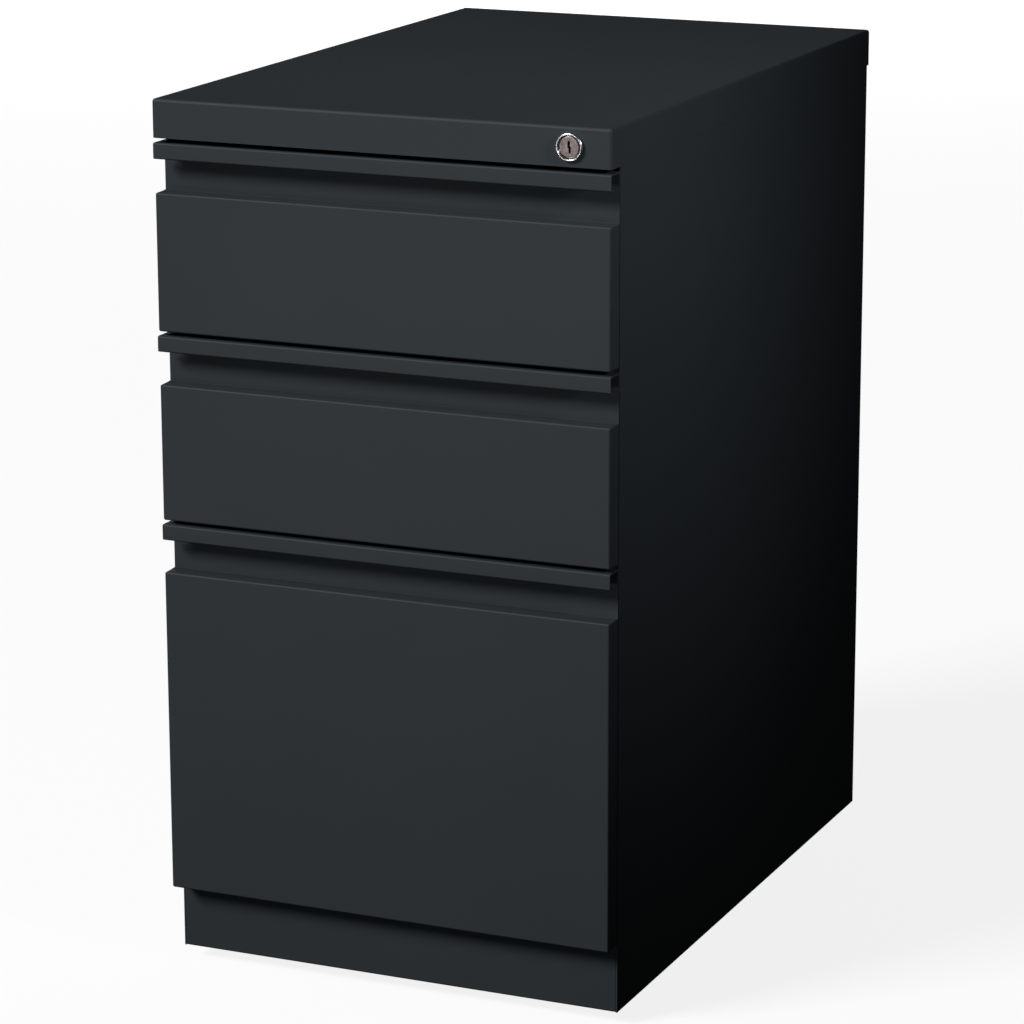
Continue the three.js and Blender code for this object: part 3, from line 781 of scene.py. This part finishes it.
def hex_bolt(across, height):
    """A hexagon head with a chamfered crown over a washer face."""
    corner = across / math.sqrt(3)
    head = turned("hex_bolt", [
        (corner * 1.25, -0.2 * MM), (corner * 1.25, 0.8 * MM), (corner, 0.8 * MM),
        (corner, height * 0.86), (corner * 0.84, height)], vertices=6)
    return eased(head, 0.12 * MM, 1, 20.0)


def pan_screw(radius, height):
    """A pan head with a cross recess."""
    head = turned("pan_screw", [
        (radius, -0.3 * MM), (radius, 0.35 * height), (0.93 * radius, 0.7 * height),
        (0.7 * radius, 0.94 * height), (0.4 * radius, height)], vertices=20)
    reach, slot = 0.55 * radius, 0.13 * radius
    top, bottom = height + 0.5 * MM, height * 0.35
    return cut(head, cube("slot_a", (-reach, -slot, bottom), (reach, slot, top)),
               cube("slot_b", (-slot, -reach, bottom), (slot, reach, top)))


# ------------------------------------------------------------------ the drawers


def make_drawer_front(drawer):
    """Folded pan: a flat face with returned sides and base, a ledge above it and the wall behind
    the finger recess."""
    low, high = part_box(f"{drawer}_front")
    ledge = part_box(f"{drawer}_tray")[1].z + LEDGE_OVER_TRAY
    rear = high.y - FRONT_SHEET
    pan = cube(f"{drawer}_face", low, (high.x, rear, ledge))
    drop_face(pan, 1, 1)
    pull_edge(pan, lambda a, b: near(a.z, ledge) and near(b.z, ledge) and near(a.y, rear)
              and near(b.y, rear), Z * (high.z - ledge))
    pull_edge(pan, lambda a, b: near(a.z, low.z) and near(b.z, low.z) and near(a.y, rear)
              and near(b.y, rear), Z * FRONT_LIP)
    round_bends(pan, FRONT_BEND, 4)
    fit_out(thicken(pan, FRONT_SHEET), drawer, "powder_coat", f"{drawer}_front")


def make_pull(drawer):
    """Full-width pull: a strip folded forward, down and back under itself, open at both ends."""
    low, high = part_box(f"{drawer}_pull")
    strip = plate(f"{drawer}_grip", (0, (low.y + high.y) / 2, high.z),
                  (high.x - low.x, high.y - low.y))
    pull_edge(strip, lambda a, b: near(a.y, low.y) and near(b.y, low.y),
              -Z * (high.z - low.z), Y * PULL_HEM)
    round_bends(strip, PULL_BEND, 4)
    fit_out(thicken(strip, FRONT_SHEET), drawer, "powder_coat", f"{drawer}_pull")


def make_tray(drawer):
    """Bottom and sides folded from one sheet, each side ending in a hem rolled outward, with the
    lock's catch welded to the right side."""
    low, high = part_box(f"{drawer}_tray")
    wall = -low.x
    tray = cube(f"{drawer}_trough", low, (wall, high.y, high.z))
    for axis, sign in ((2, 1), (1, -1), (1, 1)):
        drop_face(tray, axis, sign)
    for side in (-1, 1):
        pull_edge(tray, lambda a, b: near(a.z, high.z) and near(b.z, high.z)
                  and near(a.x, side * wall) and near(b.x, side * wall),
                  X * side * HEM_OUT, -Z * HEM_DOWN)
    round_bends(tray, TRAY_BEND)
    thicken(tray, TRAY_SHEET, 0.15 * MM)
    catch_y = CATCH_FRONT + CATCH_SHEET  # the sheet thickens forward from here
    catch_z = low.z + CATCH_HEIGHTS[drawer]
    weld_x = wall + CATCH_SHEET - TRAY_SHEET / 2
    foot = plate("catch", (weld_x, catch_y + CATCH_HEIGHT / 2, catch_z + CATCH_HEIGHT / 2),
                 (CATCH_HEIGHT, CATCH_HEIGHT), (0, math.pi / 2, 0))
    pull_edge(foot, lambda a, b: a.y < catch_y + MM and b.y < catch_y + MM,
              X * (high.x - weld_x))
    round_bends(foot, CATCH_BEND)
    thicken(foot, CATCH_SHEET)
    fit_out(joined(f"{drawer}_trough", [tray, foot]), drawer, "powder_coat", f"{drawer}_tray")


def make_tray_ends(drawer):
    """The plates across the two ends of the tray, and the screws that hold the front to the first."""
    for part, radius in (("inner_front", 0.3), ("back", 0.4)):
        end = softened(f"{drawer}_{part}", f"{drawer}_{part}_sheet", radius * MM)
        fit_out(end, drawer, "powder_coat", f"{drawer}_{part}")
    low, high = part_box(f"{drawer}_inner_front")
    across = [low.x * 0.82, high.x * 0.82]
    levels = [low.z + 22 * MM, high.z - 18 * MM]
    spots = [((x, high.y, z), (-math.pi / 2, 0, 0)) for x in across for z in levels]
    screws = repeated(f"{drawer}_front_screws", pan_screw(4.2 * MM, 2.4 * MM), spots)
    fit_out(screws, drawer, "zinc", material=BLACK_OXIDE)


def make_hanging_rails():
    """The rails along the file drawer's sides that hanging folders hook over."""
    for label, _ in SIDES:
        rail = softened(f"hanging_rail_{label}", f"file_rail_{label}", 0.8 * MM, 3)
        fit_out(rail, "drawer_3", "zinc", f"hanging_rail_{label}")


# ------------------------------------------------------------------ ball-bearing slides


def make_slide_member(node_name, body, opens):
    """One roll-formed member: a web with two flanges that reach the way it opens in X."""
    low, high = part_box(node_name)
    web_x, tip_x = (low.x, high.x) if opens > 0 else (high.x, low.x)
    member = plate(f"{node_name}_strip", (web_x, (low.y + high.y) / 2, (low.z + high.z) / 2),
                   (high.z - low.z, high.y - low.y), (0, -opens * math.pi / 2, 0))
    for level in (low.z, high.z):
        pull_edge(member, lambda a, b: near(a.z, level) and near(b.z, level), X * (tip_x - web_x))
    round_bends(member, SLIDE_BEND)
    thicken(member, SLIDE_SHEET, 0.15 * MM)
    fit_out(member, body, "zinc", node_name)


def make_cage(name, body, outer, inner, side, length):
    """A ball cage at the front of one member: a thin strip folded round the next member, with a row
    of balls in each raceway."""
    out_low, out_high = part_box(outer)
    in_low, in_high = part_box(inner)
    middle = (in_low.z + in_high.z) / 2
    lip = out_high.z - SLIDE_SHEET
    race = (in_high.z + lip) / 2 - middle
    ball = (lip - in_high.z) / 2 - BALL_CLEAR
    in_tip = in_high.x if side > 0 else in_low.x
    out_tip = out_low.x if side > 0 else out_high.x
    out_web = (out_high.x if side > 0 else out_low.x) - side * SLIDE_SHEET
    web_x = (in_tip + out_web) / 2 if abs(out_web) > abs(in_tip) else out_web - side * CAGE_CLEAR
    start = out_low.y + CAGE_SETBACK
    strip = plate(name, (web_x, start + length / 2, middle), (2 * race, length),
                  (0, side * math.pi / 2, 0))
    for level in (middle - race, middle + race):
        pull_edge(strip, lambda a, b: near(a.z, level) and near(b.z, level),
                  X * (out_tip + side * CAGE_CLEAR - web_x))
    round_bends(strip, 0.8 * MM, 3)
    thicken(strip, CAGE_SHEET, 0.05 * MM)
    count = int((length - CAGE_ENDS) / BALL_PITCH)
    clear_selection()
    bpy.ops.mesh.primitive_ico_sphere_add(
        subdivisions=2, radius=ball,
        location=((in_tip + out_tip) / 2, start + FIRST_BALL, middle - race))
    balls = settle(named("balls"))
    smooth(in_rows(balls, (count, Y * BALL_PITCH), (2, Z * 2 * race)), 60.0)
    fit_out(strip, body, "zinc")
    fit_out(balls, body, "bright_steel")
    balls.name = f"{name}_balls"
    balls.data.name = balls.name


def make_slides():
    """Two members and a cage on each side of a box drawer, and three members and two cages on each
    side of the file drawer."""
    for label, side in SIDES:
        for drawer in DRAWERS:
            outer, inner = f"{drawer}_outer_rail_{label}", f"{drawer}_inner_rail_{label}"
            make_slide_member(outer, "case", -side)
            make_slide_member(inner, drawer, side)
            if drawer == "drawer_3":
                middle = f"{drawer}_middle_rail_{label}"
                make_slide_member(middle, "drawer_3_middle", -side)
                make_cage(f"{drawer}_outer_cage_{label}", "case", outer, middle, side,
                          FILE_CAGE_LENGTH)
                make_cage(f"{drawer}_inner_cage_{label}", "drawer_3_middle", middle, inner, side,
                          FILE_CAGE_LENGTH)
            else:
                make_cage(f"{drawer}_cage_{label}", "case", outer, inner, side, BOX_CAGE_LENGTH)


# ------------------------------------------------------------------ the lock


def make_ring():
    """A chromed ring whose rounded face falls in to the plug, and the barrel behind it."""
    front, rear = lock_low.y, lock_high.y
    rim = (lock_high.x - lock_low.x) / 2
    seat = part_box("top_cap")[0].y - front - FIT
    bore = PLUG_RADIUS + FIT
    ring = turned("lock_ring", [
        (rim, seat), (rim, 1.3 * MM), (rim - 0.1 * MM, 0.75 * MM), (rim - 0.35 * MM, 0.3 * MM),
        (rim - 0.75 * MM, 0.05 * MM), (rim - 1.1 * MM, 0.0), (rim - 1.45 * MM, 0.1 * MM),
        (rim - 1.75 * MM, 0.4 * MM), (bore + 0.05 * MM, 0.9 * MM), (bore, 1.5 * MM),
        (bore, rear - front), (BARREL_RADIUS, rear - front), (BARREL_RADIUS, seat), (rim, seat)],
        (LOCK.x, front, LOCK.z), "Y", 96)
    fit_out(ring, "case", "chrome", "lock_housing")


def make_plug():
    """A turned plug with a slightly dished face, a stepped keyway and a punched mark below it."""
    low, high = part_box("lock_plug")
    face, length = low.y, high.y - low.y
    shoulder = length - SPIGOT_LENGTH
    plug = turned("lock_barrel_plug", [
        (PLUG_RADIUS * 0.55, 0.25 * MM), (PLUG_RADIUS * 0.86, 0.0),
        (PLUG_RADIUS - 0.9 * MM, 0.05 * MM), (PLUG_RADIUS - 0.25 * MM, 0.45 * MM),
        (PLUG_RADIUS, 1.0 * MM), (PLUG_RADIUS, shoulder), (SPIGOT_RADIUS, shoulder),
        (SPIGOT_RADIUS, length)], (LOCK.x, face, LOCK.z), "Y", 96)
    deep = face + KEYWAY_DEPTH
    upper = cube("key_upper", (LOCK.x - 1.3 * MM, face - MM, LOCK.z - 0.6 * MM),
                 (LOCK.x + 0.6 * MM, deep, LOCK.z + KEYWAY_HALF))
    lower = cube("key_lower", (LOCK.x - 0.5 * MM, face - MM, LOCK.z - KEYWAY_HALF),
                 (LOCK.x + 1.3 * MM, deep, LOCK.z + 0.6 * MM))
    mark = drill((LOCK.x + 0.3 * MM, face, LOCK.z - PLUG_RADIUS * 0.72), 0.8 * MM, 1.0 * MM,
                 vertices=20)
    cut(plug, upper, lower, mark)
    fit_out(plug, "lock_plug", "nickel", "lock_plug")


def make_lock_works():
    """The cam on the plug's end, the nut on the barrel, and the bar with a finger for each drawer."""
    cam = softened("lock_cam", "lock_cam_plate", 0.3 * MM)
    fit_out(cam, "lock_plug", "zinc", "lock_cam")
    nut = softened("lock_nut", "lock_barrel_nut", 0.5 * MM)
    fit_out(nut, "case", "zinc", "lock_nut")
    bar = softened("lock_bar", "lock_bar_strip", 0.35 * MM)
    fit_out(bar, "lock_bar", "zinc", "lock_bar")


# ------------------------------------------------------------------ the casters


def make_caster(name):
    """A bolted plate, a fork that swivels on its ball race, a riveted axle and the wheel."""
    plate_low, plate_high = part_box(f"{name}_plate")
    pin = (plate_low + plate_high) / 2
    mount = softened(f"{name}_plate", f"{name}_mount", 0.6 * MM)
    fit_out(mount, "case", "zinc", f"{name}_plate")
    reach = (plate_high.x - plate_low.x) / 2 - 8 * MM
    spots = [((pin.x + sx * reach, pin.y + sy * reach, plate_low.z), (math.pi, 0, 0))
             for sx in (-1, 1) for sy in (-1, 1)]
    bolts = repeated(f"{name}_bolts", hex_bolt(7.0 * MM, 4.0 * MM), spots)
    fit_out(bolts, "case", "zinc")

    fork = softened(f"{name}_fork", f"{name}_yoke", 0.5 * MM)
    fit_out(fork, f"{name}_fork", "zinc", f"{name}_fork")
    crown = plate_low.z - RACE_GAP
    race = turned(f"{name}_race", [
        (13.0 * MM, 0.15 * MM), (17.0 * MM, 0.15 * MM), (18.5 * MM, 0.5 * MM), (18.5 * MM, 1.0 * MM),
        (17.0 * MM, 1.35 * MM), (13.0 * MM, 1.35 * MM), (13.0 * MM, 0.15 * MM)],
        (pin.x, pin.y, crown))
    fit_out(race, f"{name}_fork", "bright_steel")

    axle_low, axle_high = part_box(f"{name}_axle")
    hub = (axle_low + axle_high) / 2
    head = (axle_high.z - axle_low.z) / 2
    length = axle_high.x - axle_low.x
    axle = turned(f"{name}_axle_rivet", [
        (0.45 * head, 0.0), (0.85 * head, 0.5 * MM), (head, 1.2 * MM), (head, AXLE_HEAD),
        (AXLE_RADIUS, AXLE_HEAD), (AXLE_RADIUS, length - AXLE_HEAD), (head, length - AXLE_HEAD),
        (head, length - 1.2 * MM), (0.85 * head, length - 0.5 * MM), (0.45 * head, length)],
        (axle_low.x, hub.y, hub.z), "X", 32)
    fit_out(axle, f"{name}_fork", "bright_steel", f"{name}_axle")
    make_wheel(name, hub)


def make_wheel(name, hub):
    """A moulded wheel: a hub that stands to the fork, a dished web, and a rim with a rounded tread."""
    low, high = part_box(f"{name}_wheel")
    rim, half = (high.z - low.z) / 2, (high.x - low.x) / 2
    bore = AXLE_RADIUS + AXLE_CLEAR
    side = [(bore, half), (7.5 * MM, half), (8.0 * MM, half - 0.5 * MM), (8.6 * MM, half - 5 * MM),
            (rim - 7 * MM, half - 5.5 * MM), (rim - 6 * MM, half - 1.2 * MM),
            (rim - 5.2 * MM, half - 0.6 * MM), (rim - 3 * MM, half - 0.6 * MM),
            (rim - 1.2 * MM, half - 1.4 * MM), (rim - 0.3 * MM, half - 3.2 * MM),
            (rim, half - 5.5 * MM)]
    profile = side + [(radius, -height) for radius, height in reversed(side)] + [side[0]]
    wheel = turned(f"{name}_roller", profile, hub, "X", 64)
    fit_out(wheel, f"{name}_wheel", "nylon_black", f"{name}_wheel")


MATERIALS = {
    "powder_coat": powder_coat(),
    "zinc": zinc_plate(),
    "chrome": chrome_plate(),
    "nickel": satin_nickel(),
    "bright_steel": bright_steel(),
    "mill_steel": mill_steel(),
    "nylon_black": moulded_nylon(),
}
BLACK_OXIDE = black_oxide()

add_camera()
add_studio()
add_floor(studio_floor())
add_backdrop(studio_backdrop())

for row in frame["record"]["subparts"]:
    wear(frame["nodes"][row["node"]], MATERIALS[row["material_slot"]])

make_cap()
make_side_panels()
make_upright("back_panel", "back_sheet", 1)
make_upright("base_plinth", "toe_kick", -1)
make_top_rail()
make_pan()
make_counterweight()
make_rear_rivets()
for drawer in DRAWERS:
    make_drawer_front(drawer)
    make_pull(drawer)
    make_tray(drawer)
    make_tray_ends(drawer)
make_hanging_rails()
make_slides()
make_ring()
make_plug()
make_lock_works()
for end in ("front", "rear"):
    for label, _ in SIDES:
        make_caster(f"caster_{end}_{label}")
